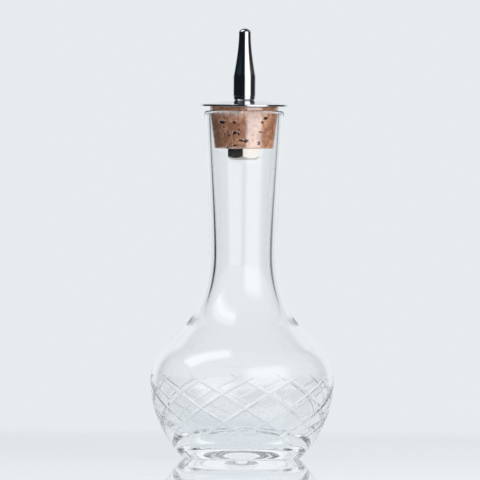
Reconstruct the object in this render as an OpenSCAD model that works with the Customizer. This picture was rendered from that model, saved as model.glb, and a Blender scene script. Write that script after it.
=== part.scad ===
// Bitters bottle: a blown glass bottle with a wheel-cut diamond lattice, closed by a cork
// stopper that carries a metal dasher spout. Millimetres, +Z up, origin at the centre of the
// foot on the table. The front of the bottle faces -Y.

/* [Glass bottle] */
// Height of the glass, table to lip
glass_h = 113.2; // [108:0.1:118]
// Largest outside radius of the belly
belly_r = 29.8; // [28.5:0.1:31]
// Height of the largest radius
belly_z = 25.6; // [24.5:0.1:27]
// Radius of the arc that forms the bowl below the largest radius
bowl_arc_r = 35.3; // [34.5:0.1:36.5]
// Radius of the arc that turns the belly into the shoulder
shoulder_arc_r = 15.5; // [14.5:0.1:16.5]
// Slope of the straight shoulder, measured from upright
shoulder_slope = 44; // [42:0.5:46]
// Outside radius at the waist of the neck
waist_r = 11.06; // [10.6:0.05:11.6]
// Height of the waist
waist_z = 67; // [64:0.5:70]
// Outside radius of the neck under the lip
lip_r = 13; // [12.8:0.05:13.4]
// Thickness of the rounded lip
lip_t = 1.9; // [1.7:0.05:2]
// Wall of the belly at its largest radius
belly_wall = 1.5; // [1.2:0.1:2]
// Wall of the neck at its waist
waist_wall = 2.26; // [1.8:0.05:2.6]
// Thickness of the base inside the foot ring
base_t = 5; // [4.5:0.1:6]
// Depth of the hollow under the foot
punt_depth = 1.7; // [1:0.1:2.2]
// Inner radius of the ring that the bottle stands on
foot_ring_r = 16.8; // [15.5:0.1:17.5]

/* [Cut lattice] */
// Number of cuts that lean each way
cuts_each_way = 12; // [8:1:16]
// Depth of a cut at its middle
cut_depth = 0.36; // [0.2:0.02:0.5]
// How much deeper the cuts that lean left are, as they are made second
second_cut_deeper = 0.07; // [0.05:0.01:0.1]
// Included angle of the cutting wheel's edge
cut_angle = 110; // [90:5:130]
// Height where a cut starts below the shoulder
cut_top_z = 27.3; // [26.5:0.1:28]
// Height where a cut is deepest
cut_middle_z = 16.6; // [16:0.1:17.5]
// Height where a cut runs out above the foot
cut_bottom_z = 7.2; // [6.5:0.1:8]
// Turn of the lattice about the bottle, from the front
lattice_turn = 2.5; // [0:0.5:30]

/* [Stopper] */
// Height of the underside of the cork
cork_bottom_z = 100.9; // [100:0.1:102]
// Height of the top of the cork, under the flange
cork_top_z = 114.6; // [114.2:0.1:115.2]
// Radius of the cork at its bottom
cork_bottom_r = 9.6; // [9.2:0.05:10]
// Radius of the cork at its top
cork_top_r = 11.28; // [11.1:0.02:11.3]
// Edge rounding of the cork
cork_edge = 0.3; // [0.1:0.05:0.5]
// Radius of the flange disc
flange_r = 14.3; // [13.8:0.1:15]
// Thickness of the flange at its rim
flange_rim_t = 0.6; // [0.4:0.05:0.8]
// Rise of the flange's dome from rim to seat
flange_rise = 1.25; // [1:0.05:1.6]

/* [Hollow bolt] */
// Width of the hexagon across its flats
hex_across = 10; // [9.5:0.1:10.5]
// Height of the hexagon with its turned end
hex_h = 3.7; // [3.2:0.1:4.2]
// Turn of the hexagon about the bottle, from the front
hex_turn = -3; // [-10:1:10]
// Radius of the threaded shank
shank_r = 2.5; // [2.3:0.05:2.5]
// Radius of the bolt's through bore
bolt_bore_r = 1.3; // [1:0.05:1.5]
// Length of shank that the spout screws onto
thread_h = 5.6; // [4:0.8:6.4]
// Running clearance round the shank
running_gap = 0.05; // [0.02:0.01:0.1]

/* [Spout] */
// Radius of the spout's barrel
barrel_r = 3.72; // [3.5:0.02:4]
// Radius of the spout where it stands on the flange
spout_foot_r = 3.15; // [3:0.05:3.3]
// Height of the rounded foot of the spout
spout_foot_h = 1.5; // [1.2:0.1:2]
// Height of the top of the barrel above the flange
barrel_top_h = 7.8; // [7:0.1:9]
// Height of the whole spout
spout_h = 23.55; // [20:0.05:26]
// Radius of the nozzle at the end of the taper
nozzle_r = 2; // [1.85:0.05:2.1]
// Radius of the outlet hole
outlet_r = 0.75; // [0.6:0.05:0.9]

/* [Hidden] */
$fn = 96;

curve_steps = 8; // points along one free curve of an outline
tiny = 0.01; // overlap that keeps joined outlines in one piece

bowl_axis_r = belly_r - bowl_arc_r; // radius of the bowl arc's centre, beyond the axis
shoulder_axis_r = belly_r - shoulder_arc_r;
foot_edge_r = 1.2; // rounding between the bowl and the table
foot_edge_axis_r = bowl_axis_r + sqrt(pow(bowl_arc_r - foot_edge_r, 2) - pow(belly_z - foot_edge_r, 2));
foot_edge_top_z = belly_z - bowl_arc_r * (belly_z - foot_edge_r) / (bowl_arc_r - foot_edge_r);
shoulder_top_h = shoulder_arc_r * sin(shoulder_slope); // above belly_z
shoulder_top_z = belly_z + shoulder_top_h;
lip_z = glass_h - lip_t / 2; // centre of the rounded lip
punt_arc_r = (pow(foot_ring_r, 2) + pow(punt_depth, 2)) / (2 * punt_depth);

neck_foot_z = 43; // where the straight shoulder starts to curve into the neck
slope_run = [-sin(shoulder_slope), cos(shoulder_slope)];

flange_top_z = cork_top_z + flange_rim_t + flange_rise;
shank_top_z = flange_top_z + thread_h;
bolt_hole_r = shank_r + running_gap;

// Point at height z on the straight outside of the shoulder, moved in by the wall t
function shoulder_point(z, t) =
    [shoulder_axis_r + (shoulder_arc_r - t) / cos(shoulder_slope)
        - (z - belly_z) * tan(shoulder_slope), z];
// Points of a cubic curve from a to d, with handles b and c
function curve(a, b, c, d, steps = curve_steps) =
    [for (i = [0 : steps])
        let (t = i / steps, u = 1 - t)
        u * u * u * a + 3 * u * u * t * b + 3 * u * t * t * c + t * t * t * d];
// Points of an arc about a centre, from angle a0 to a1
function arc(centre, r, a0, a1, steps) =
    [for (i = [0 : steps]) centre + r * [cos(a0 + (a1 - a0) * i / steps), sin(a0 + (a1 - a0) * i / steps)]];
// The same outline without its first point, where it joins the one before
function tail(points) = [for (i = [1 : len(points) - 1]) points[i]];

// Outside of the flare and the neck, from the shoulder to the lip
function neck_outside() =
    let (foot = shoulder_point(neck_foot_z, 0))
    concat(
        curve(foot, foot + 7.6 * slope_run, [waist_r, waist_z - 10], [waist_r, waist_z]),
        tail(curve([waist_r, waist_z], [waist_r, waist_z + 13], [lip_r - 0.95, lip_z - 14], [lip_r, lip_z]))
    );
// The bore of the neck, from the lip down to the shoulder
function neck_inside() =
    let (
        foot = shoulder_point(neck_foot_z + 0.3, belly_wall),
        bore_r = waist_r - waist_wall,
        mouth_r = lip_r - lip_t
    )
    concat(
        curve([mouth_r, lip_z], [mouth_r - 0.35, lip_z - 15.2], [bore_r, waist_z + 11], [bore_r, waist_z - 1]),
        tail(curve([bore_r, waist_z - 1], [bore_r, waist_z - 10.5], foot + 7 * slope_run, foot))
    );

// Half outline of the glass without its hollow
module outside_outline() {
    translate([0, foot_edge_top_z])
        intersection() {
            translate([bowl_axis_r, belly_z - foot_edge_top_z]) circle(r = bowl_arc_r);
            square([belly_r + 1, belly_z - foot_edge_top_z]);
        }
    intersection() {
        translate([foot_edge_axis_r, foot_edge_r]) circle(r = foot_edge_r);
        square([belly_r, foot_edge_r]);
    }
    square([foot_edge_axis_r, foot_edge_r]);
    translate([0, belly_z])
        intersection() {
            union() {
                translate([shoulder_axis_r, 0]) circle(r = shoulder_arc_r);
                square([shoulder_axis_r, shoulder_arc_r]);
            }
            square([belly_r + 1, shoulder_top_h]);
        }
    polygon(concat(
        [[0, shoulder_top_z], shoulder_point(shoulder_top_z, 0)],
        neck_outside(),
        [[0, lip_z]]
    ));
}

// Half outline of the hollow, up to the lip
module hollow_outline() {
    floor_corner_r = 15.4;
    corner_arc_r = 6;
    inner_bowl_r = 24.9;
    inner_axis = [belly_r - belly_wall - inner_bowl_r, belly_z];
    corner_axis = [floor_corner_r, base_t + corner_arc_r];
    corner_angle = atan2(corner_axis[1] - inner_axis[1], corner_axis[0] - inner_axis[0]);
    inner_shoulder_r = shoulder_arc_r - belly_wall;
    polygon(concat(
        [[0, lip_z]],
        neck_inside(),
        tail(arc([shoulder_axis_r, belly_z], inner_shoulder_r, shoulder_slope, 0, 6)),
        tail(arc(inner_axis, inner_bowl_r, 0, corner_angle, 10)),
        tail(arc(corner_axis, corner_arc_r, corner_angle, -90, 4)),
        [[0, base_t + 0.6]]
    ));
}

// Half outline of the shallow hollow under the foot
module punt_outline() {
    intersection() {
        translate([0, punt_depth - punt_arc_r]) circle(r = punt_arc_r, $fn = 720);
        translate([0, -1]) square([foot_ring_r + 10, punt_depth + 2]);
    }
}

// Half outline of the rounded top of the lip
module lip_outline() {
    intersection() {
        translate([lip_r - lip_t / 2, lip_z]) circle(r = lip_t / 2);
        translate([0, lip_z]) square([lip_r + 1, lip_t]);
    }
}

// A cut is the mark of a thin wheel with a V edge. The wheel's rim is a circle through three
// points of the glass: on the surface at both ends of the cut, and cut_depth under it between.
function bowl_r(z) = bowl_axis_r + sqrt(pow(bowl_arc_r, 2) - pow(z - belly_z, 2));
function on_bowl(turn, z, depth) =
    let (
        r = bowl_r(z) - depth * (bowl_r(z) - bowl_axis_r) / bowl_arc_r,
        h = z + depth * (belly_z - z) / bowl_arc_r
    )
    [r * sin(turn), -r * cos(turn), h];

cut_half_turn = 36;
cut_start = on_bowl(-cut_half_turn, cut_top_z, 0);
cut_middle = on_bowl(0, cut_middle_z, cut_depth);
cut_end = on_bowl(cut_half_turn, cut_bottom_z, 0);
wheel_normal = cross(cut_middle - cut_start, cut_end - cut_start);
// Centre of the circle through the three points
wheel_centre =
    let (
        a = cut_middle - cut_start,
        b = cut_end - cut_start,
        n = wheel_normal
    )
    cut_start + (cross(n, a) * (b * b) + cross(b, n) * (a * a)) / (2 * (n * n));
wheel_r = norm(cut_start - wheel_centre);
wheel_lean = acos(wheel_normal[2] / norm(wheel_normal));
wheel_heading = atan2(wheel_normal[1], wheel_normal[0]);
// Directions of the leaned wheel's own X and Y, and where the middle of the cut lies on its rim
wheel_x = [cos(wheel_lean) * cos(wheel_heading), cos(wheel_lean) * sin(wheel_heading), -sin(wheel_lean)];
wheel_y = [-sin(wheel_heading), cos(wheel_heading), 0];
rim_middle = atan2((cut_middle - wheel_centre) * wheel_y, (cut_middle - wheel_centre) * wheel_x);
rim_span = 88; // stretch of the rim that meets the glass, with some to spare

// What the wheel's V edge takes out of the glass in one cut, pressed in deeper or not
module wheel_mark(deeper) {
    rim = 1; // how far the V opens outside its point
    half = rim * tan(cut_angle / 2);
    point_r = wheel_r - deeper;
    translate(wheel_centre)
        rotate([0, wheel_lean, wheel_heading])
            rotate([0, 0, rim_middle - rim_span / 2])
                rotate_extrude(angle = rim_span)
                    polygon([[point_r, 0], [point_r + rim, half], [point_r + rim, -half]]);
}

// The solid outside form with its cuts, made one after another, leaning each way in turn
module cut_form(cuts) {
    step = 360 / cuts_each_way;
    leans_left = (cuts - 1) % 2;
    difference() {
        if (cuts > 0) cut_form(cuts - 1);
        else rotate_extrude() outside_outline();
        if (cuts > 0)
            rotate([0, 0, lattice_turn + floor((cuts - 1) / 2) * step])
                mirror([leans_left, 0, 0]) wheel_mark(leans_left * second_cut_deeper);
    }
}

module glass_bottle() {
    color([0.86, 0.91, 0.93, 0.45]) {
        difference() {
            cut_form(2 * cuts_each_way);
            rotate_extrude() {
                hollow_outline();
                punt_outline();
            }
        }
        rotate_extrude() lip_outline();
    }
}

// Tapered cork with eased edges and a hole for the bolt
module cork() {
    edge_r = (cork_top_r - cork_bottom_r) / (cork_top_z - cork_bottom_z) * cork_edge;
    color([0.72, 0.52, 0.40])
        rotate_extrude()
            polygon([
                [bolt_hole_r, cork_bottom_z],
                [cork_bottom_r - cork_edge, cork_bottom_z],
                [cork_bottom_r + edge_r, cork_bottom_z + cork_edge],
                [cork_top_r - edge_r, cork_top_z - cork_edge],
                [cork_top_r - cork_edge, cork_top_z],
                [bolt_hole_r, cork_top_z]
            ]);
}

// Flange: a flat underside on the cork, a shallow dome above, and a flat seat for the spout
module flange_disc() {
    seat_r = spout_foot_r + 0.25;
    rim_z = cork_top_z + flange_rim_t;
    dome_run = flange_r - flange_rim_t / 2;
    // Depth of the dome's centre under the rim, for an arc through the rim and the seat's edge
    dome_axis_depth = (pow(dome_run, 2) - pow(seat_r, 2) - pow(flange_rise, 2)) / (2 * flange_rise);
    dome_arc_r = sqrt(pow(dome_run, 2) + pow(dome_axis_depth, 2));
    color([0.78, 0.79, 0.81])
        difference() {
            rotate_extrude() {
                translate([flange_r - flange_rim_t / 2, cork_top_z + flange_rim_t / 2])
                    circle(r = flange_rim_t / 2);
                translate([0, cork_top_z]) square([dome_run, flange_rim_t]);
                intersection() {
                    translate([0, rim_z - dome_axis_depth]) circle(r = dome_arc_r, $fn = 720);
                    translate([0, rim_z - tiny]) square([dome_run, flange_rise + tiny]);
                }
            }
            translate([0, 0, cork_top_z - 1]) cylinder(r = bolt_hole_r, h = flange_rise + flange_rim_t + 2);
        }
}

// Spout: rounded foot with a fine turned line above it, barrel, hollow taper, domed nozzle
module dasher_spout() {
    turned_line = 0.08; // step between the foot and the barrel
    dome_arc_r = 1.7;
    dome_axis_r = 0.35; // the dome's arc is centred a little off the axis
    dome_axis = [dome_axis_r, spout_h - sqrt(pow(dome_arc_r, 2) - pow(outlet_r - dome_axis_r, 2))];
    dome_start = acos((nozzle_r - dome_axis_r) / dome_arc_r);
    dome_end = acos((outlet_r - dome_axis_r) / dome_arc_r);
    taper_end_h = 21.6;
    chamber_r = 1.2;
    socket_h = thread_h + 0.3;
    outline = concat(
        [[0, 0]],
        curve(
            [spout_foot_r, 0], [spout_foot_r + 0.3, 0.1],
            [barrel_r - 0.1, spout_foot_h * 0.5], [barrel_r - turned_line, spout_foot_h - turned_line], 4
        ),
        [[barrel_r, spout_foot_h]],
        curve(
            [barrel_r, barrel_top_h], [barrel_r - 1.18, barrel_top_h + 6.4],
            [nozzle_r + 0.05, taper_end_h - 3.6], [nozzle_r, taper_end_h]
        ),
        arc(dome_axis, dome_arc_r, dome_start, dome_end, 5),
        [[0, spout_h]]
    );
    color([0.78, 0.79, 0.81])
        translate([0, 0, flange_top_z])
            difference() {
                rotate_extrude() polygon(outline);
                translate([0, 0, -1]) cylinder(r = bolt_hole_r, h = socket_h + 1);
                translate([0, 0, socket_h - tiny])
                    cylinder(r1 = bolt_hole_r, r2 = chamber_r, h = 8);
                cylinder(r = chamber_r, h = spout_h - 4);
                cylinder(r = outlet_r, h = spout_h + 1);
            }
}

// Hollow bolt: a hexagon with a turned end under the cork, and a bored shank up into the spout
module hollow_bolt() {
    hex_r = hex_across / 2 / cos(30);
    turned_h = 0.8; // height of the turned end, inside hex_h
    bottom_z = cork_bottom_z - hex_h;
    color([0.74, 0.73, 0.70])
        difference() {
            union() {
                intersection() {
                    translate([0, 0, bottom_z])
                        rotate([0, 0, 30 + hex_turn]) cylinder(r = hex_r, h = hex_h, $fn = 6);
                    translate([0, 0, bottom_z])
                        rotate_extrude()
                            polygon([
                                [0, 0], [hex_across / 2 - 1.1, 0], [hex_across / 2 - 0.25, turned_h * 0.55],
                                [hex_r + 0.1, turned_h * 1.6], [hex_r + 0.1, hex_h], [0, hex_h]
                            ]);
                }
                translate([0, 0, cork_bottom_z - tiny])
                    cylinder(r = shank_r, h = shank_top_z - cork_bottom_z + tiny);
            }
            translate([0, 0, bottom_z - 1]) cylinder(r = bolt_bore_r, h = shank_top_z - bottom_z + 2);
        }
}

glass_bottle();
cork();
flange_disc();
dasher_spout();
hollow_bolt();
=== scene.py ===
from math import acos, atan2, cos, degrees, hypot, pi, radians, sin, tan

import bpy
import numpy as np
from mathutils import Euler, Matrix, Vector


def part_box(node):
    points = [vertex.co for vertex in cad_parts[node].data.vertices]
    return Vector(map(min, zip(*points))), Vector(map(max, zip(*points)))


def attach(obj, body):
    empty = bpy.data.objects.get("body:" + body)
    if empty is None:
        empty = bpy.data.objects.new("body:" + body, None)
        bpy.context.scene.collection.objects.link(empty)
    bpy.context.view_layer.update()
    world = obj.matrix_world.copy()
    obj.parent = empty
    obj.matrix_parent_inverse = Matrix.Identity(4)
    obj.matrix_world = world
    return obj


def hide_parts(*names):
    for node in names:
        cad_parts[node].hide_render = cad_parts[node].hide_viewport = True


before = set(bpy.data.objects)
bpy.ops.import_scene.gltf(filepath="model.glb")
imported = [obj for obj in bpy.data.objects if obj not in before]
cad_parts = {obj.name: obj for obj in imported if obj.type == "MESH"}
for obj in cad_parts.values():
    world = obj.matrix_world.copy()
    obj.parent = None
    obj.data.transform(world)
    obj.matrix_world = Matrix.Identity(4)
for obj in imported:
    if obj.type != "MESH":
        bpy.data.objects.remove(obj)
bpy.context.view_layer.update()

# Lengths are in metres, and the bottle's own dimensions are written in millimetres times MM.
MM = 0.001
SAME_POINT = 0.01 * MM
ON_AXIS = 1e-9

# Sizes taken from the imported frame
GLASS_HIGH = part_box("glass_bottle")[1]
CORK_LOW, CORK_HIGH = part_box("cork")
FLANGE_LOW, FLANGE_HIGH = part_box("flange_disc")
SPOUT_LOW, SPOUT_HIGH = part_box("dasher_spout")
GLASS_TOP = GLASS_HIGH.z
BELLY_R = GLASS_HIGH.x
CORK_BOTTOM = CORK_LOW.z
CORK_TOP = CORK_HIGH.z
CORK_TOP_R = CORK_HIGH.x
FLANGE_BOTTOM = FLANGE_LOW.z
FLANGE_TOP = FLANGE_HIGH.z
FLANGE_R = FLANGE_HIGH.x
SPOUT_FOOT = SPOUT_LOW.z
SPOUT_TOP = SPOUT_HIGH.z
BARREL_R = SPOUT_HIGH.x


# Outlines are lists of points (radius, height), and turned bodies are made from them
def point(r, z):
    """A point or a step of an outline, from millimetres."""
    return np.array((r * MM, z * MM))


def line(start, end, steps=1):
    """Points along a straight stretch of an outline."""
    return [start + (end - start) * s for s in np.linspace(0, 1, steps + 1)]


def arc(centre, radius, start, end, steps):
    """Points along a round stretch of an outline, by angles in degrees."""
    turns = np.radians(np.linspace(start, end, steps + 1))
    return [centre + radius * np.array((cos(t), sin(t))) for t in turns]


def curve(start, end, leave, arrive, steps):
    """Points along a cubic curve, whose handles are measured from its start and from its end."""
    share = np.linspace(0, 1, steps + 1)
    a, b, c, d = start, start + leave, end + arrive, end
    return [(1 - s) ** 3 * a + 3 * (1 - s) ** 2 * s * b + 3 * (1 - s) * s**2 * c + s**3 * d for s in share]


def joined(*stretches):
    """One outline from stretches that follow each other, without the doubled ends."""
    points = list(stretches[0])
    for stretch in stretches[1:]:
        points += stretch[1:] if np.allclose(points[-1], stretch[0], atol=SAME_POINT) else stretch
    return points


def rings(outline, count):
    """The rings that lathe takes, one for each point of an outline."""
    return [(float(r), float(z), count) for r, z in outline]


def lathe(stack):
    """Points and faces of a closed turned body from a stack of rings. A ring is (radius, height, points
    round), and one of radius 0 is a single point. A ring may have a multiple of its neighbour's points.
    The rings run up outside and down inside, and end on the axis or where they began."""
    ends_at_start = np.allclose(stack[0][:2], stack[-1][:2], atol=SAME_POINT)
    points, faces, starts = [], [], []
    for r, z, count in stack[:-1] if ends_at_start else stack:
        count = 1 if r < ON_AXIS else count
        starts.append((len(points), count))
        for k in range(count):
            turn = 2 * pi * k / count
            points.append((r * sin(turn), -r * cos(turn), z))
    for (a, na), (b, nb) in zip(starts, starts[1:] + starts[:1] * ends_at_start):
        few = min(na, nb)
        if few == 1:
            many, whole = (a, na) if na > nb else (b, nb)
            tip = b if na > nb else a
            for k in range(whole):
                edge = (many + k, many + (k + 1) % whole)
                faces.append((*edge, tip) if na > nb else (edge[1], edge[0], tip))
            continue
        per_a, per_b = na // few, nb // few
        for k in range(few):
            low = [a + (k * per_a + i) % na for i in range(per_a + 1)]
            high = [b + (k * per_b + i) % nb for i in range(per_b + 1)]
            faces.append((*low, *reversed(high)))
    return points, faces


def add_mesh(name, points, faces, sharp_angle=None):
    """A mesh object with smooth faces, and crisp edges where it bends by more than sharp_angle."""
    mesh = bpy.data.meshes.new(name)
    mesh.from_pydata(points, [], faces)
    mesh.validate()
    mesh.polygons.foreach_set("use_smooth", np.ones(len(mesh.polygons), bool))
    if sharp_angle:
        mesh.set_sharp_from_angle(angle=radians(sharp_angle))
    obj = bpy.data.objects.new(name, mesh)
    bpy.context.scene.collection.objects.link(obj)
    return obj


def add_point_values(obj, name, values):
    """Stores one number for each point of a mesh, for its material to read."""
    attribute = obj.data.attributes.new(name, "FLOAT", "POINT")
    attribute.data.foreach_set("value", values.astype(np.float32))


# The glass bottle: one outline outside, with the punt, a shallow hollow, under the foot, and one inside
FOOT_FLAT_R = 16.8 * MM
FOOT_EDGE_R = 1.2 * MM
PUNT_DEPTH = 1.7 * MM
PUNT_ARC_R = (FOOT_FLAT_R**2 + PUNT_DEPTH**2) / 2 / PUNT_DEPTH
PUNT_POINTS = 11
BELLY_Z = 25.6 * MM
BELLY_WALL = 1.5 * MM
BOWL_ARC_R = 35.3 * MM
BOWL_C = np.array((BELLY_R - BOWL_ARC_R, BELLY_Z))
INSIDE_BOWL_R = 24.9 * MM
INSIDE_BOWL_C = np.array((BELLY_R - BELLY_WALL - INSIDE_BOWL_R, BELLY_Z))
INSIDE_CORNER_R = 6 * MM
INSIDE_FLOOR_Z = 5 * MM
INSIDE_MIDDLE_Z = 5.6 * MM
SHOULDER_ARC_R = 15.5 * MM
SHOULDER_C = np.array((BELLY_R - SHOULDER_ARC_R, BELLY_Z))
SHOULDER_TURN = 44
SHOULDER_WAY = np.array((-sin(radians(SHOULDER_TURN)), cos(radians(SHOULDER_TURN))))
FLARE_Z = 43 * MM
INSIDE_FLARE_Z = 43.3 * MM
WAIST = point(11.06, 67)
INSIDE_WAIST = point(8.8, 66)
LIP_EDGE_R = 0.95 * MM
LIP_C = np.array((12.05 * MM, GLASS_TOP - LIP_EDGE_R))
# Handles of the curves that lead from the shoulder to the waist and from there to the lip
FLARE_HANDLES = (7.6 * MM * SHOULDER_WAY, point(0, -10))
NECK_HANDLES = (point(0, 13), point(-0.95, -14))
INSIDE_NECK_HANDLES = (point(-0.35, -15.2), point(0, 12))
INSIDE_FLARE_HANDLES = (point(0, -9.5), 7 * MM * SHOULDER_WAY)

# The lattice: two families of V cuts round the bowl, each the edge of a tilted grinding wheel
CUTS_EACH_WAY = 12
CUT_DEPTH = 0.3 * MM
SECOND_CUT_DEEPER = 0.07 * MM
CUT_ANGLE = 110
CUT_HALF_TURN = 36
CUT_TOP_Z = 27.3 * MM
CUT_MIDDLE_Z = 16.6 * MM
CUT_BOTTOM_Z = 7.2 * MM
LATTICE_TURN = 2.5
CUT_ATTRIBUTE = "cut"

# Points round the glass, finer in the rows between the heights where the cuts lie
ROUND_COARSE = 192
ROUND_FINE = ROUND_COARSE * 3
CUT_ZONE = (6.5 * MM, 28.2 * MM)
CUT_ROWS = 116


def nested(centre, radius, low_z, inner_radius):
    """Centre of a smaller arc that stands on the height low_z and touches a larger arc from inside,
    and the angle in degrees where they touch."""
    z = low_z + inner_radius
    x = centre[0] + ((radius - inner_radius) ** 2 - (centre[1] - z) ** 2) ** 0.5
    return np.array((x, z)), degrees(atan2(z - centre[1], x - centre[0]))


def on_slope(z, wall):
    """A point of the straight shoulder at a height, moved in by the wall."""
    turn = radians(SHOULDER_TURN)
    return np.array((SHOULDER_C[0] + (SHOULDER_ARC_R - wall) / cos(turn) - (z - BELLY_Z) * tan(turn), z))


def bowl_angle(z):
    """Angle up the bowl or shoulder arc, in degrees, of a height on it."""
    arc_r = BOWL_ARC_R if z <= BELLY_Z else SHOULDER_ARC_R
    return np.degrees(np.arcsin((z - BELLY_Z) / arc_r))


def outer_glass():
    """Rings of the outside, from the middle of the foot up to the top of the lip."""
    zone_low, zone_high = CUT_ZONE
    punt_z = PUNT_DEPTH - PUNT_ARC_R
    punt_rs = np.linspace(0, FOOT_FLAT_R, PUNT_POINTS)
    punt = [np.array((r, punt_z + (PUNT_ARC_R**2 - r**2) ** 0.5)) for r in punt_rs]
    edge_c, edge_turn = nested(BOWL_C, BOWL_ARC_R, 0, FOOT_EDGE_R)
    flat = line(punt[-1], np.array((edge_c[0], 0)), steps=2)
    edge = arc(edge_c, FOOT_EDGE_R, -90, edge_turn, steps=6)
    low_bowl = arc(BOWL_C, BOWL_ARC_R, edge_turn, bowl_angle(zone_low), steps=7)
    bowl_rows = round(CUT_ROWS * (BELLY_Z - zone_low) / (zone_high - zone_low))
    cut_bowl = arc(BOWL_C, BOWL_ARC_R, bowl_angle(zone_low), 0, bowl_rows)
    cut_shoulder = arc(SHOULDER_C, SHOULDER_ARC_R, 0, bowl_angle(zone_high), CUT_ROWS - bowl_rows)
    shoulder = arc(SHOULDER_C, SHOULDER_ARC_R, bowl_angle(zone_high), SHOULDER_TURN, steps=10)
    slope = line(shoulder[-1], on_slope(FLARE_Z, 0), steps=4)
    flare = curve(slope[-1], WAIST, *FLARE_HANDLES, steps=16)
    lip = arc(LIP_C, LIP_EDGE_R, 0, 90, steps=5)
    neck = curve(WAIST, lip[0], *NECK_HANDLES, steps=18)
    return (
        rings(joined(punt, flat, edge, low_bowl)[:-1], ROUND_COARSE)
        + rings(joined(cut_bowl, cut_shoulder), ROUND_FINE)
        + rings(joined(shoulder[1:], slope, flare, neck, lip), ROUND_COARSE)
    )


def inner_glass():
    """Rings of the inside, from the top of the lip down to the middle of the floor."""
    lip = arc(LIP_C, LIP_EDGE_R, 90, 180, steps=5)
    neck = curve(lip[-1], INSIDE_WAIST, *INSIDE_NECK_HANDLES, steps=18)
    flare = curve(INSIDE_WAIST, on_slope(INSIDE_FLARE_Z, BELLY_WALL), *INSIDE_FLARE_HANDLES, steps=16)
    shoulder = arc(SHOULDER_C, SHOULDER_ARC_R - BELLY_WALL, SHOULDER_TURN, 0, steps=12)
    slope = line(flare[-1], shoulder[0], steps=4)
    corner_c, corner_turn = nested(INSIDE_BOWL_C, INSIDE_BOWL_R, INSIDE_FLOOR_Z, INSIDE_CORNER_R)
    bowl = arc(INSIDE_BOWL_C, INSIDE_BOWL_R, 0, corner_turn, steps=20)
    corner = arc(corner_c, INSIDE_CORNER_R, corner_turn, -90, steps=8)
    floor = line(corner[-1], np.array((0, INSIDE_MIDDLE_Z)), steps=6)
    outline = joined(lip, neck, flare, slope, shoulder, bowl, corner, floor)
    return rings(outline[1:], ROUND_COARSE)


def on_bowl(turn, z, depth):
    """A point on the bowl or shoulder, moved in by depth, at a turn from the front in degrees."""
    around, up = radians(turn), radians(bowl_angle(z))
    centre, arc_r = (BOWL_C, BOWL_ARC_R) if z <= BELLY_Z else (SHOULDER_C, SHOULDER_ARC_R)
    r = centre[0] + (arc_r - depth) * cos(up)
    return np.array((r * sin(around), -r * cos(around), centre[1] + (arc_r - depth) * sin(up)))


def wheel():
    """Centre, axis and radius of the circle that the point of one V cut follows."""
    a = on_bowl(-CUT_HALF_TURN, CUT_TOP_Z, 0)
    b = on_bowl(0, CUT_MIDDLE_Z, CUT_DEPTH)
    c = on_bowl(CUT_HALF_TURN, CUT_BOTTOM_Z, 0)
    u, v = b - a, c - a
    w = np.cross(u, v)
    centre = a + (np.cross(w, u) * (v @ v) + np.cross(v, w) * (u @ u)) / (2 * (w @ w))
    return centre, w / np.linalg.norm(w), np.linalg.norm(a - centre)


def cut(points):
    """Moves points of the outside in to the V cuts that reach them, and says how deep each one lies."""
    centre, axis, radius = wheel()
    flank = tan(radians(CUT_ANGLE / 2))
    deepest = np.zeros(len(points))
    move = np.zeros((len(points), 3))
    for family in (1, -1):
        sides = np.array((family, 1, 1))
        family_radius = radius - (SECOND_CUT_DEEPER if family < 0 else 0)
        for k in range(CUTS_EACH_WAY):
            turn = radians(LATTICE_TURN + 360 / CUTS_EACH_WAY * k)
            turned = np.array(((cos(turn), -sin(turn), 0), (sin(turn), cos(turn), 0), (0, 0, 1)))
            away = points - turned @ (centre * sides)
            normal = turned @ (axis * sides)
            height = away @ normal
            flat = away - np.outer(height, normal)
            reach = np.linalg.norm(flat, axis=1)
            depth = reach - family_radius - np.abs(height) / flank
            hit = depth > deepest
            deepest[hit] = depth[hit]
            move[hit] = -(flat[hit] / reach[hit, None]) * depth[hit, None]
    return points + move, deepest


def glass_bottle():
    """The bottle, with its depth in the cuts stored as a share of a whole cut."""
    outside, inside = outer_glass(), inner_glass()
    points, faces = lathe(outside + inside)
    points = np.array(points)
    outside_count = sum(1 if r < ON_AXIS else count for r, z, count in outside)
    near_cuts = (points[:, 2] > CUT_ZONE[0] - MM) & (points[:, 2] < CUT_ZONE[1] + MM)
    near_cuts[outside_count:] = False
    depths = np.zeros(len(points))
    points[near_cuts], depths[near_cuts] = cut(points[near_cuts])
    piece = add_mesh("cut_glass_bottle", points.tolist(), faces)
    add_point_values(piece, CUT_ATTRIBUTE, depths / CUT_DEPTH)
    return piece


# The spout, turned from bar: a rounded foot under a fine line, a barrel, a hollow taper, a domed nozzle
SPOUT_FOOT_R = 3.15 * MM
BARREL_LOW_Z = 117.95 * MM
BARREL_HIGH_Z = 124.25 * MM
TURNED_LINE = 0.08 * MM
TAPER_END_Z = 138.05 * MM
NOZZLE_R = 2 * MM
TIP_ARC_R = 1.7 * MM
TIP_AXIS_R = 0.35 * MM
OUTLET_R = 0.75 * MM
OUTLET_DEPTH = 3 * MM
CHAMBER_R = 1.2 * MM
CHAMBER_DEPTH = 3.6 * MM
SOCKET_R = 2.55 * MM
SOCKET_DEPTH = 5.9 * MM
FOOT_HANDLES = (point(0.3, 0.1), point(-0.02, -0.67))
TAPER_HANDLES = (point(-1.18, 6.4), point(0.05, -3.6))
ROUND_METAL = 160


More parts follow.
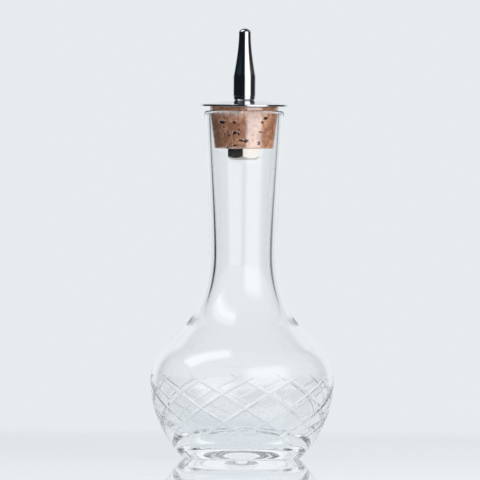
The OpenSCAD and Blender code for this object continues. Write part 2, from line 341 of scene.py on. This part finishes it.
def dasher_spout():
    foot_low = np.array((SPOUT_FOOT_R, SPOUT_FOOT))
    foot_high = np.array((BARREL_R - TURNED_LINE, BARREL_LOW_Z - TURNED_LINE))
    foot = curve(foot_low, foot_high, *FOOT_HANDLES, steps=8)
    ledge = line(foot_high, np.array((BARREL_R, BARREL_LOW_Z)))
    barrel = line(ledge[-1], np.array((BARREL_R, BARREL_HIGH_Z)), steps=6)
    taper = curve(barrel[-1], np.array((NOZZLE_R, TAPER_END_Z)), *TAPER_HANDLES, steps=20)
    tip_z = SPOUT_TOP - (TIP_ARC_R**2 - (OUTLET_R - TIP_AXIS_R) ** 2) ** 0.5
    tip_turns = [degrees(acos((r - TIP_AXIS_R) / TIP_ARC_R)) for r in (NOZZLE_R, OUTLET_R)]
    tip = arc(np.array((TIP_AXIS_R, tip_z)), TIP_ARC_R, *tip_turns, steps=10)
    nozzle = line(taper[-1], tip[0], steps=2)
    socket_top = SPOUT_FOOT + SOCKET_DEPTH
    inside = [
        np.array((OUTLET_R, SPOUT_TOP - OUTLET_DEPTH)),
        np.array((CHAMBER_R, SPOUT_TOP - CHAMBER_DEPTH)),
        np.array((CHAMBER_R, socket_top)),
        np.array((SOCKET_R, socket_top)),
        np.array((SOCKET_R, SPOUT_FOOT)),
        foot_low,
    ]
    points, faces = lathe(rings(joined(foot, ledge, barrel, taper, nozzle, tip, inside), ROUND_METAL))
    return add_mesh("turned_spout", points, faces, sharp_angle=20)


# The flange disc: a flat underside, a thin square rim and a shallow dome with a flat seat for the spout
FLANGE_RIM = 0.6 * MM
FLANGE_EDGE_R = 0.08 * MM
FLANGE_HOLE_R = 2.55 * MM
FLANGE_SEAT_R = 3.4 * MM
DOME_POINTS = 30
ROUND_FLANGE = 288


def flange_disc():
    rise = FLANGE_TOP - FLANGE_BOTTOM - FLANGE_RIM
    below = (FLANGE_R**2 - FLANGE_SEAT_R**2 - rise**2) / 2 / rise
    sphere_r = hypot(FLANGE_SEAT_R, below + rise)
    sphere_z = FLANGE_TOP - rise - below
    edge_r = FLANGE_R - FLANGE_EDGE_R
    low = arc(np.array((edge_r, FLANGE_BOTTOM + FLANGE_EDGE_R)), FLANGE_EDGE_R, -90, 0, steps=3)
    rim_top = FLANGE_BOTTOM + FLANGE_RIM
    high = arc(np.array((edge_r, rim_top - FLANGE_EDGE_R)), FLANGE_EDGE_R, 0, 80, steps=3)
    dome_rs = np.linspace(edge_r, FLANGE_SEAT_R, DOME_POINTS)
    dome = [np.array((r, sphere_z + (sphere_r**2 - r**2) ** 0.5)) for r in dome_rs]
    hole_low = np.array((FLANGE_HOLE_R, FLANGE_BOTTOM))
    hole_high = np.array((FLANGE_HOLE_R, FLANGE_TOP))
    outline = line(hole_low, low[0], steps=8) + low[1:] + high + dome + [hole_high, hole_low]
    points, faces = lathe(rings(outline, ROUND_FLANGE))
    return add_mesh("domed_flange", points, faces, sharp_angle=25)


# The cork: a taper with real pores, the seen ones listed one by one and the rest spread by a seeded draw
CORK_BOTTOM_R = 9.6 * MM
CORK_EDGE_R = 0.3 * MM
CORK_HOLE_R = 2.6 * MM
ROUND_CORK = 336
CORK_ROWS = 84
CORK_SEED = 11
PORE_ATTRIBUTE = "pore"
PORE_DEPTH = 0.45 * MM
# Only points beyond this radius sink into pores
PORES_FROM_R = 9.4 * MM
# A pore's slope starts this far out and is this wide, in shares of the pore's half width
PORE_RIM = 1.25
PORE_SLOPE = 0.75
# How a pore's outline waves: waves round it and their height as a share of its half width, and the range
# in radians by which each wave is turned at random
PORE_WAVES = ((2, 0.22), (3, 0.16), (5, 0.12))
PORE_WAVE_TURN = 6
# Turn from the front in degrees, height above the cork's foot, width and height in mm, lean in degrees
SEEN_PORES = [
    (-40, 8.6, 1.9, 1.15, 18),
    (-17.5, 8.6, 0.95, 0.85, 0),
    (-17, 5.1, 1.35, 1.0, 5),
    (-10, 4.8, 0.7, 0.95, 50),
    (-28, 4.4, 0.75, 0.4, 0),
    (-36, 4.9, 0.6, 0.45, 0),
    (-4.5, 2.6, 2.2, 0.55, -8),
    (3.5, 2.5, 0.8, 1.3, -20),
    (-17, 1.1, 1.25, 0.5, 15),
    (-33, 0.3, 0.8, 0.6, 20),
    (38, 9.9, 1.3, 1.1, -25),
    (33, 8.6, 0.8, 0.9, 30),
    (31.5, 5.5, 1.6, 0.3, 0),
    (29, 1.8, 0.95, 0.95, 30),
    (-8, 12.2, 0.8, 0.5, 55),
    (3, 12.1, 0.5, 0.9, 20),
]
# The hidden pores: how many, where, their lean, their smallest size and how much larger they get, and the
# width and height of one of size 1
HIDDEN_PORES = 46
HIDDEN_TURNS = (75, 285)
HIDDEN_HEIGHTS = (0.5, 13.1)
HIDDEN_LEANS = (-30, 30)
HIDDEN_SMALLEST = 0.35
HIDDEN_LARGER = 1.2
HIDDEN_WIDE = 1.4
HIDDEN_HIGH = 0.8


def pores():
    """Every pore in the terms of SEEN_PORES, the hidden ones from a fixed draw."""
    draw = np.random.default_rng(CORK_SEED)
    found = list(SEEN_PORES)
    for _ in range(HIDDEN_PORES):
        size = HIDDEN_SMALLEST + HIDDEN_LARGER * draw.random() ** 2
        turn = draw.uniform(*HIDDEN_TURNS)
        height = draw.uniform(*HIDDEN_HEIGHTS)
        lean = draw.uniform(*HIDDEN_LEANS)
        found.append((turn, height, size * HIDDEN_WIDE, size * HIDDEN_HIGH, lean))
    return found


def pore_depths(turn, height, r):
    """How deep points of the cork's side lie in its ragged pores, from 0 to 1."""
    draw = np.random.default_rng(CORK_SEED + 1)
    depth = np.zeros(len(turn))
    for centre, up, wide, high, lean in pores():
        lobes = draw.random(len(PORE_WAVES))
        across = np.radians((turn - centre + 180) % 360 - 180) * r / MM
        upward = height / MM - up
        c, s = cos(radians(lean)), sin(radians(lean))
        x, y = across * c + upward * s, upward * c - across * s
        angle = np.arctan2(y / high, x / wide)
        ragged = 1
        for (waves, size), lobe in zip(PORE_WAVES, lobes):
            ragged = ragged + size * np.cos(waves * angle + PORE_WAVE_TURN * lobe)
        away = np.hypot(2 * x / wide, 2 * y / high) / ragged
        depth = np.maximum(depth, np.clip(PORE_RIM - away, 0, PORE_SLOPE) / PORE_SLOPE)
    return depth


def cork():
    """The cork, with its depth in the pores stored as a share of a whole pore."""
    hole_low = np.array((CORK_HOLE_R, CORK_BOTTOM))
    side_low = np.array((CORK_BOTTOM_R, CORK_BOTTOM + CORK_EDGE_R))
    side_high = np.array((CORK_TOP_R, CORK_TOP - CORK_EDGE_R))
    under = line(hole_low, np.array((CORK_BOTTOM_R - CORK_EDGE_R, CORK_BOTTOM)), steps=12)
    side = line(side_low, side_high, CORK_ROWS)
    top = line(np.array((CORK_TOP_R - CORK_EDGE_R, CORK_TOP)), np.array((CORK_HOLE_R, CORK_TOP)), steps=8)
    points, faces = lathe(rings(under + side + top + [hole_low], ROUND_CORK))
    points = np.array(points)
    around = np.arctan2(points[:, 0], -points[:, 1])
    r = np.hypot(points[:, 0], points[:, 1])
    depth = pore_depths(np.degrees(around), points[:, 2] - CORK_BOTTOM, r) * (r > PORES_FROM_R)
    points[:, 0] -= PORE_DEPTH * depth * np.sin(around)
    points[:, 1] += PORE_DEPTH * depth * np.cos(around)
    piece = add_mesh("natural_cork_plug", points.tolist(), faces, sharp_angle=50)
    add_point_values(piece, PORE_ATTRIBUTE, depth)
    return piece


# Materials
class Nodes:
    """A short way to build a node tree. Values are numbers, colours or the outputs of other nodes."""

    def __init__(self, tree):
        self.tree = tree
        tree.nodes.clear()

    def give(self, socket, value):
        if hasattr(value, "links"):
            self.tree.links.new(value, socket)
        else:
            socket.default_value = value

    def add(self, kind, values=None, **settings):
        node = self.tree.nodes.new(kind)
        for name, value in settings.items():
            setattr(node, name, value)
        for name, value in (values or {}).items():
            self.give(node.inputs[name], value)
        return node

    def maths(self, operation, a, b=0.0, clamp=False):
        return self.add("ShaderNodeMath", {0: a, 1: b}, operation=operation, use_clamp=clamp).outputs[0]

    def smooth(self, value, low, high, bottom=0.0, top=1.0):
        values = {"Value": value, "From Min": low, "From Max": high, "To Min": bottom, "To Max": top}
        return self.add("ShaderNodeMapRange", values, interpolation_type="SMOOTHSTEP").outputs["Result"]

    def mixed(self, share, a, b):
        node = self.add("ShaderNodeMix", data_type="RGBA")
        for socket, value in ((node.inputs[0], share), (node.inputs[6], a), (node.inputs[7], b)):
            self.give(socket, value)
        return node.outputs[2]

    def noise(self, scale, detail=2.0, stretch=(1, 1, 1), roughness=0.5):
        place = self.add("ShaderNodeTexCoord").outputs["Object"]
        sized = self.add("ShaderNodeMapping", {"Vector": place, "Scale": stretch}).outputs[0]
        values = {"Vector": sized, "Scale": scale, "Detail": detail, "Roughness": roughness}
        return self.add("ShaderNodeTexNoise", values).outputs["Fac"]

    def bump(self, height, strength, distance):
        values = {"Strength": strength, "Distance": distance, "Height": height}
        return self.add("ShaderNodeBump", values).outputs[0]

    def surface(self, values):
        return self.add("ShaderNodeBsdfPrincipled", values).outputs[0]

    def blended(self, share, a, b):
        return self.add("ShaderNodeMixShader", {0: share, 1: a, 2: b}).outputs[0]

    def finish(self, surface):
        self.add("ShaderNodeOutputMaterial", {"Surface": surface})


def new_material(name):
    material = bpy.data.materials.new(name)
    material.use_nodes = True
    return material, Nodes(material.node_tree)


def rgb(r, g, b):
    return (r, g, b, 1)


def clear_glass():
    """Clear glass with a faint waviness from blowing, and satin wheel cuts that blur more from inside.
    Lamps and soft bounces pass straight through it."""
    material, n = new_material("clear_glass")
    in_cut = n.add("ShaderNodeAttribute", attribute_name=CUT_ATTRIBUTE).outputs["Fac"]
    from_inside = n.add("ShaderNodeNewGeometry").outputs["Backfacing"]
    satin = n.smooth(from_inside, 0.0, 1.0, 0.15, 0.4)
    wave = n.noise(45, detail=1)
    glass = n.surface(
        {
            "Base Color": rgb(0.985, 0.992, 0.996),
            "Transmission Weight": 1.0,
            "Roughness": n.smooth(in_cut, 0.0, 0.15, 0.01, satin),
            "IOR": 1.5,
            "Normal": n.bump(wave, 0.05, 0.4 * MM),
        }
    )
    clear = n.add("ShaderNodeBsdfTransparent", {"Color": rgb(0.95, 0.96, 0.965)}).outputs[0]
    path = n.add("ShaderNodeLightPath").outputs
    passing = n.maths("MAXIMUM", path["Is Shadow Ray"], path["Is Diffuse Ray"])
    n.finish(n.blended(passing, glass, clear))
    return material


def polished_chrome():
    """Mirror chrome with a trace of turning marks and handling haze."""
    material, n = new_material("polished_chrome")
    turning = n.noise(900, detail=3, stretch=(0.05, 0.05, 1))
    haze = n.noise(160, detail=4)
    metal = n.surface(
        {
            "Base Color": rgb(0.76, 0.77, 0.79),
            "Metallic": 1.0,
            "Roughness": n.smooth(haze, 0.3, 0.8, 0.03, 0.09),
            "Normal": n.bump(turning, 0.06, 0.02 * MM),
        }
    )
    n.finish(metal)
    return material


def bolt_metal():
    """Plated bolt, duller than the chrome, with fine marks from turning."""
    material, n = new_material("bolt_metal")
    marks = n.noise(1400, detail=3, stretch=(0.1, 0.1, 1))
    metal = n.surface(
        {
            "Base Color": rgb(0.64, 0.60, 0.555),
            "Metallic": 1.0,
            "Roughness": n.smooth(marks, 0.3, 0.7, 0.07, 0.13),
            "Normal": n.bump(marks, 0.15, 0.03 * MM),
        }
    )
    n.finish(metal)
    return material


def natural_cork():
    """Warm cork with clouds, grain, upright streaks and specks, dark pores whose colour is partly their
    own and partly painted shade deepening into each pit, and a polish that the pores lack."""
    material, n = new_material("natural_cork")
    cloud = n.noise(230, detail=4, stretch=(1, 1, 1.3))
    grain = n.noise(1300, detail=5, stretch=(1, 1, 0.6), roughness=0.65)
    streak = n.noise(1700, detail=3, stretch=(1, 1, 0.16))
    speck = n.noise(1500, detail=2)
    pore = n.add("ShaderNodeAttribute", attribute_name=PORE_ATTRIBUTE).outputs["Fac"]
    clouded = n.mixed(n.smooth(cloud, 0.38, 0.64), rgb(0.45, 0.172, 0.078), rgb(0.75, 0.355, 0.193))
    grained = n.mixed(n.smooth(grain, 0.44, 0.66, 0.0, 0.75), clouded, rgb(0.27, 0.092, 0.040))
    streaked = n.mixed(n.smooth(streak, 0.5, 0.68, 0.0, 0.5), grained, rgb(0.21, 0.075, 0.036))
    specked = n.mixed(n.smooth(speck, 0.64, 0.70, 0.0, 0.9), streaked, rgb(0.06, 0.024, 0.014))
    # The pores turn near black as they deepen: partly the cork's own dark pores, partly painted shade at
    # the bottom of each pit
    pores_with_painted_shade = n.mixed(n.smooth(pore, 0.05, 0.45), specked, rgb(0.016, 0.009, 0.008))
    rough_height = n.maths("ADD", n.maths("MULTIPLY", grain, 0.7), n.maths("MULTIPLY", speck, 0.3))
    surface = n.surface(
        {
            "Base Color": pores_with_painted_shade,
            "Roughness": n.smooth(grain, 0.3, 0.8, 0.5, 0.72),
            "Specular IOR Level": 0.5,
            "Coat Weight": n.smooth(pore, 0.01, 0.12, 1.0, 0.0),
            "Coat Roughness": 0.09,
            "Coat IOR": 3.4,
            "Normal": n.bump(rough_height, 0.35, 0.12 * MM),
        }
    )
    n.finish(surface)
    return material


# The surroundings. Directions are azimuth, 0 towards the camera and positive to its right, and elevation,
# in degrees. A place in the world is given as azimuth from and to, elevation from and to, and softness.
BACKDROP = (138, 222, -14, 50, 6)
DARK_SIDE = (-150, -5, -90, 50, 25)
# The plain levels: the surround for the camera, the same seen straight through glass, the fill for matt
# surfaces and its dark side, and the two levels for light that glass has turned back more than once
PALE = rgb(0.800, 0.832, 0.858)
THROUGH = rgb(0.868, 0.900, 0.926)
FILL = rgb(0.66, 0.67, 0.68)
FILL_DARK_SIDE = rgb(0.16, 0.16, 0.17)
GLOW = rgb(0.74, 0.77, 0.79)
GLOW_BACKDROP = rgb(0.94, 0.965, 0.985)
# The room that reflections see: its own level, and places painted one over the other
ROOM = rgb(0.075, 0.08, 0.09)
ROOM_PLACES = [
    ((-142, 0, -14, 24, 5), rgb(0.010, 0.012, 0.016)),
    ((-105, -42, 16, 34, 7), rgb(0.020, 0.050, 0.062)),
    ((64, 124, 14, 44, 6), rgb(0.17, 0.155, 0.15)),
    ((64, 124, -14, 14, 5), rgb(0.03, 0.028, 0.03)),
    ((124, 140, -14, 24, 5), rgb(0.22, 0.21, 0.22)),
    (BACKDROP, PALE),
]
# Flat soft lights in front of the room: azimuth, elevation, roll, half width and half height as seen from
# 1 m away, softness, level
SOFT_LIGHTS = [
    (-71.5, 52.3, 30, 0.20, 0.46, 0.06, 1.8),
    (35, 8, 0, 0.52, 0.52, 0.20, 1.6),
]
# A direction can meet a flat light only when its share along the light's own direction is over this
AHEAD = 0.05


def way(azimuth, elevation):
    """The direction of an azimuth and an elevation."""
    az, el = radians(azimuth), radians(elevation)
    return Vector((sin(az) * cos(el), -cos(az) * cos(el), sin(el)))


def light_share(n, direction, azimuth, elevation, roll, half_wide, half_high, soft):
    """How much of a direction falls on a flat light."""
    turn = radians(roll)
    out = way(azimuth, elevation)
    level = way(azimuth + 90, 0)
    upright = level.cross(out)
    wide = level * cos(turn) + upright * sin(turn)
    high = upright * cos(turn) - level * sin(turn)
    ahead, *aside = [
        n.add("ShaderNodeVectorMath", {0: direction, 1: axis}, operation="DOT_PRODUCT").outputs["Value"]
        for axis in (out, wide, high)
    ]
    share = n.maths("GREATER_THAN", ahead, AHEAD)
    for along, half in zip(aside, (half_wide, half_high)):
        away = n.maths("ABSOLUTE", n.maths("DIVIDE", along, ahead))
        share = n.maths("MULTIPLY", share, n.smooth(away, half - soft, half + soft, 1.0, 0.0))
    return share


def place_share(n, azimuth, elevation, az_from, az_to, el_from, el_to, soft):
    """How much of a direction falls in a place between two azimuths and two elevations."""
    middle, half = (az_from + az_to) / 2, (az_to - az_from) / 2
    turned = n.maths("SUBTRACT", azimuth, middle)
    wrapped = n.add("ShaderNodeMath", {0: turned, 1: 180.0, 2: -180.0}, operation="WRAP").outputs[0]
    across = n.smooth(n.maths("ABSOLUTE", wrapped), half - soft, half + soft, 1.0, 0.0)
    above = n.smooth(elevation, el_from - soft, el_from + soft)
    below = n.smooth(elevation, el_to - soft, el_to + soft, 1.0, 0.0)
    return n.maths("MULTIPLY", across, n.maths("MULTIPLY", above, below))


def painted_room(n, direction, azimuth, elevation):
    """The colour of the room in a direction."""
    room = ROOM
    for place, colour in ROOM_PLACES:
        room = n.mixed(place_share(n, azimuth, elevation, *place), room, colour)
    for *light, level in SOFT_LIGHTS:
        room = n.mixed(light_share(n, direction, *light), room, rgb(level, level, level))
    return room


def studio_world():
    """The light from all round, by what receives it. The camera and the table's mirror see a pale
    surround, and a look straight through the glass sees a slightly lighter one. Matt surfaces get a soft
    fill that is darker on the left. Reflections in metal, cork and glass, and light that the glass has
    turned back once, see the room: dark to the left, a wide soft light to the right, another high on the
    left, and the pale backdrop behind. Light that the glass has turned back more often sees a plain glow,
    brighter towards the backdrop."""
    world = bpy.data.worlds.new("studio")
    bpy.context.scene.world = world
    world.use_nodes = True
    n = Nodes(world.node_tree)
    direction = n.add("ShaderNodeTexCoord").outputs["Generated"]
    parts = n.add("ShaderNodeSeparateXYZ", {0: direction}).outputs
    azimuth = n.maths("DEGREES", n.maths("ARCTAN2", parts["X"], n.maths("MULTIPLY", parts["Y"], -1.0)))
    elevation = n.maths("DEGREES", n.maths("ARCSINE", parts["Z"]))
    room = painted_room(n, direction, azimuth, elevation)
    path = n.add("ShaderNodeLightPath").outputs
    through = path["Is Transmission Ray"]
    turned_back = n.maths("GREATER_THAN", path["Glossy Depth"], 0.5)
    turned_often = n.maths("GREATER_THAN", path["Glossy Depth"], 1.5)
    reflected = n.maths("MULTIPLY", path["Is Glossy Ray"], n.maths("SUBTRACT", 1.0, through))
    soft_reflected = n.maths("MULTIPLY", reflected, n.maths("SUBTRACT", 1.0, path["Is Singular Ray"]))
    sees_room = n.maths("ADD", soft_reflected, n.maths("MULTIPLY", through, turned_back), clamp=True)
    sees_backdrop = n.maths("ADD", path["Is Glossy Ray"], path["Is Camera Ray"], clamp=True)
    fill = n.mixed(place_share(n, azimuth, elevation, *DARK_SIDE), FILL, FILL_DARK_SIDE)
    plain = n.mixed(sees_backdrop, fill, PALE)
    clear = n.mixed(through, plain, THROUGH)
    glow = n.mixed(place_share(n, azimuth, elevation, *BACKDROP), GLOW, GLOW_BACKDROP)
    seen = n.mixed(n.maths("MULTIPLY", through, turned_often), room, glow)
    colour = n.mixed(sees_room, clear, seen)
    background = n.add("ShaderNodeBackground", {"Color": colour, "Strength": 1.0})
    n.add("ShaderNodeOutputWorld", {"Surface": background.outputs[0]})


def add_lamp(name, azimuth, elevation, distance, size, power):
    """A soft lamp aimed at the bottle, which only matt surfaces see: the world holds what polished ones
    reflect."""
    light = bpy.data.lights.new(name, "AREA")
    light.shape = "RECTANGLE"
    light.size, light.size_y = size
    light.energy = power
    lamp = bpy.data.objects.new(name, light)
    out = way(azimuth, elevation)
    lamp.location = out * distance + Vector((0, 0, GLASS_TOP / 2))
    lamp.rotation_euler = out.to_track_quat("Z", "Y").to_euler()
    lamp.visible_camera = False
    lamp.visible_glossy = False
    lamp.visible_transmission = False
    bpy.context.scene.collection.objects.link(lamp)


# The table, a hair under the foot so that the two surfaces don't meet
TABLE_R = 0.42
TABLE_FADE = 0.18
TABLE_DROP = 0.02 * MM
TABLE_POINTS = 9
ROUND_TABLE = 128


def pale_table():
    """A round polished table top whose rim fades into the backdrop."""
    outline = [np.array((r, -TABLE_DROP)) for r in np.linspace(0, TABLE_R, TABLE_POINTS)]
    points, faces = lathe(rings(outline, ROUND_TABLE))
    table = add_mesh("pale_table", points, [tuple(reversed(f)) for f in faces])
    material, n = new_material("pale_table")
    place = n.add("ShaderNodeTexCoord").outputs["Object"]
    out = n.add("ShaderNodeVectorMath", {0: place}, operation="LENGTH").outputs["Value"]
    diffuse = n.add("ShaderNodeBsdfDiffuse", {"Color": rgb(0.85, 0.88, 0.90)}).outputs[0]
    mirror = n.add("ShaderNodeBsdfGlossy", {"Color": rgb(0.97, 0.97, 0.97), "Roughness": 0.0}).outputs[0]
    shine = n.add("ShaderNodeFresnel", {"IOR": 1.6}).outputs[0]
    top = n.blended(n.maths("MULTIPLY", shine, 0.85), diffuse, mirror)
    clear = n.add("ShaderNodeBsdfTransparent").outputs[0]
    n.finish(n.blended(n.smooth(out, TABLE_R - TABLE_FADE, TABLE_R), top, clear))
    paint(table, material)


# The camera: far off and a little above the mouth, as in the photograph
CAMERA_AWAY = 5.0
CAMERA_Z = 0.132
CAMERA_NEAR = 0.1
CAMERA_FAR = 50
FRAME_SIZE = 156.2 * MM
FRAME_MIDDLE_Z = 71.1 * MM
FRAME_MIDDLE_X = -1.04 * MM
CAMERA_ROLL = 0.47
SENSOR = 36.0


def add_camera():
    data = bpy.data.cameras.new("photo_camera")
    camera = bpy.data.objects.new("photo_camera", data)
    bpy.context.scene.collection.objects.link(camera)
    target = Vector((FRAME_MIDDLE_X, 0, FRAME_MIDDLE_Z))
    camera.location = Vector((FRAME_MIDDLE_X, -CAMERA_AWAY, CAMERA_Z))
    back = camera.location - target
    data.sensor_width = SENSOR
    data.lens = SENSOR * back.length / FRAME_SIZE
    data.clip_start = CAMERA_NEAR
    data.clip_end = CAMERA_FAR
    aim = back.to_track_quat("Z", "Y")
    roll = Euler((0, 0, radians(CAMERA_ROLL))).to_quaternion()
    camera.rotation_euler = (aim @ roll).to_euler()
    bpy.context.scene.camera = camera


def let_light_bounce():
    """Light that is caught in the thick base is turned back many times before it comes out."""
    paths = bpy.context.scene.cycles
    paths.max_bounces = 32
    paths.glossy_bounces = 24
    paths.transmission_bounces = 24
    paths.transparent_max_bounces = 24


def paint(obj, material):
    obj.data.materials.clear()
    obj.data.materials.append(material)


add_camera()
bottle = glass_bottle()
spout = dasher_spout()
flange = flange_disc()
plug = cork()
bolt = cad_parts["hollow_bolt"]
chrome = polished_chrome()
paint(bottle, clear_glass())
paint(spout, chrome)
paint(flange, chrome)
paint(plug, natural_cork())
paint(bolt, bolt_metal())

for piece, body, node, slot in (
    (bottle, "bottle", "glass_bottle", "clear_glass"),
    (plug, "stopper", "cork", "natural_cork"),
    (flange, "flange", "flange_disc", "polished_chrome"),
    (spout, "spout", "dasher_spout", "polished_chrome"),
):
    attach(piece, body)
    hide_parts(node)

let_light_bounce()
studio_world()
pale_table()
add_lamp("soft_key", azimuth=36, elevation=28, distance=1.2, size=(0.8, 1.0), power=14)

bpy.context.scene.view_settings.view_transform = "Standard"
